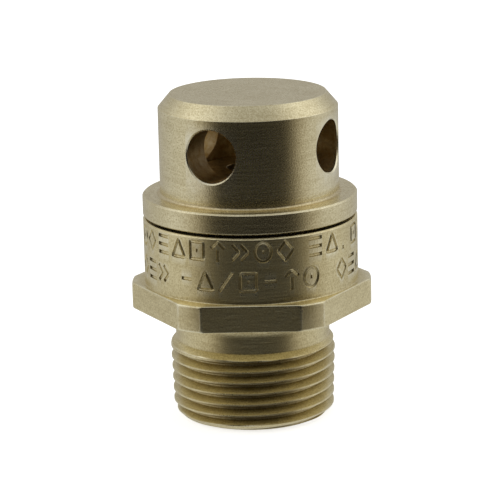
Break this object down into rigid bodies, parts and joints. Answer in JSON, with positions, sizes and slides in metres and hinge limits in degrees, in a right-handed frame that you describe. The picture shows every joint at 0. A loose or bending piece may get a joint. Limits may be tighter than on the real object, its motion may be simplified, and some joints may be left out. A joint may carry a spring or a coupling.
{
  "type": "automatic air vent",
  "caption": "Vacuum relief air vent: hexagon body with a male pipe thread, and a cross-drilled cap over a spring-loaded disc that opens inwards.",
  "frame": {"origin": "centre of the thread's end face, on the valve's axis", "axes": "+Z along the valve's axis from the pipe thread up to the cap; +X and +Y through the centres of the air ports"},
  "size_m": [0.0368, 0.0388, 0.0528],
  "materials": {
    "body_brass": "fine satin, machined",
    "cap_brass": "fine satin, machined",
    "turned_brass": "bright turned",
    "gasket_rubber": "matt",
    "disc_silicone": "matt moulded",
    "stainless_steel": "turned",
    "spring_wire": "drawn wire"
  },
  "bodies": {
    "valve": {"valve_body": "body_brass", "valve_cap": "cap_brass", "cap_gasket": "gasket_rubber", "seat_insert": "turned_brass", "stem_guide": "turned_brass", "return_spring": "spring_wire"},
    "poppet": {"seal_disc": "disc_silicone", "disc_holder": "turned_brass", "disc_washer": "stainless_steel", "disc_nut": "turned_brass", "poppet_stem": "stainless_steel", "stem_clip": "spring_wire"}
  },
  "joints": [
    {"name": "poppet_lift", "type": "slide", "parent": "valve", "child": "poppet", "axis": [0, 0, -1], "range_m": [0, 0.003], "stiffness_N_per_m": 60, "springref_m": -0.0055, "deforming": ["return_spring"]}
  ]
}
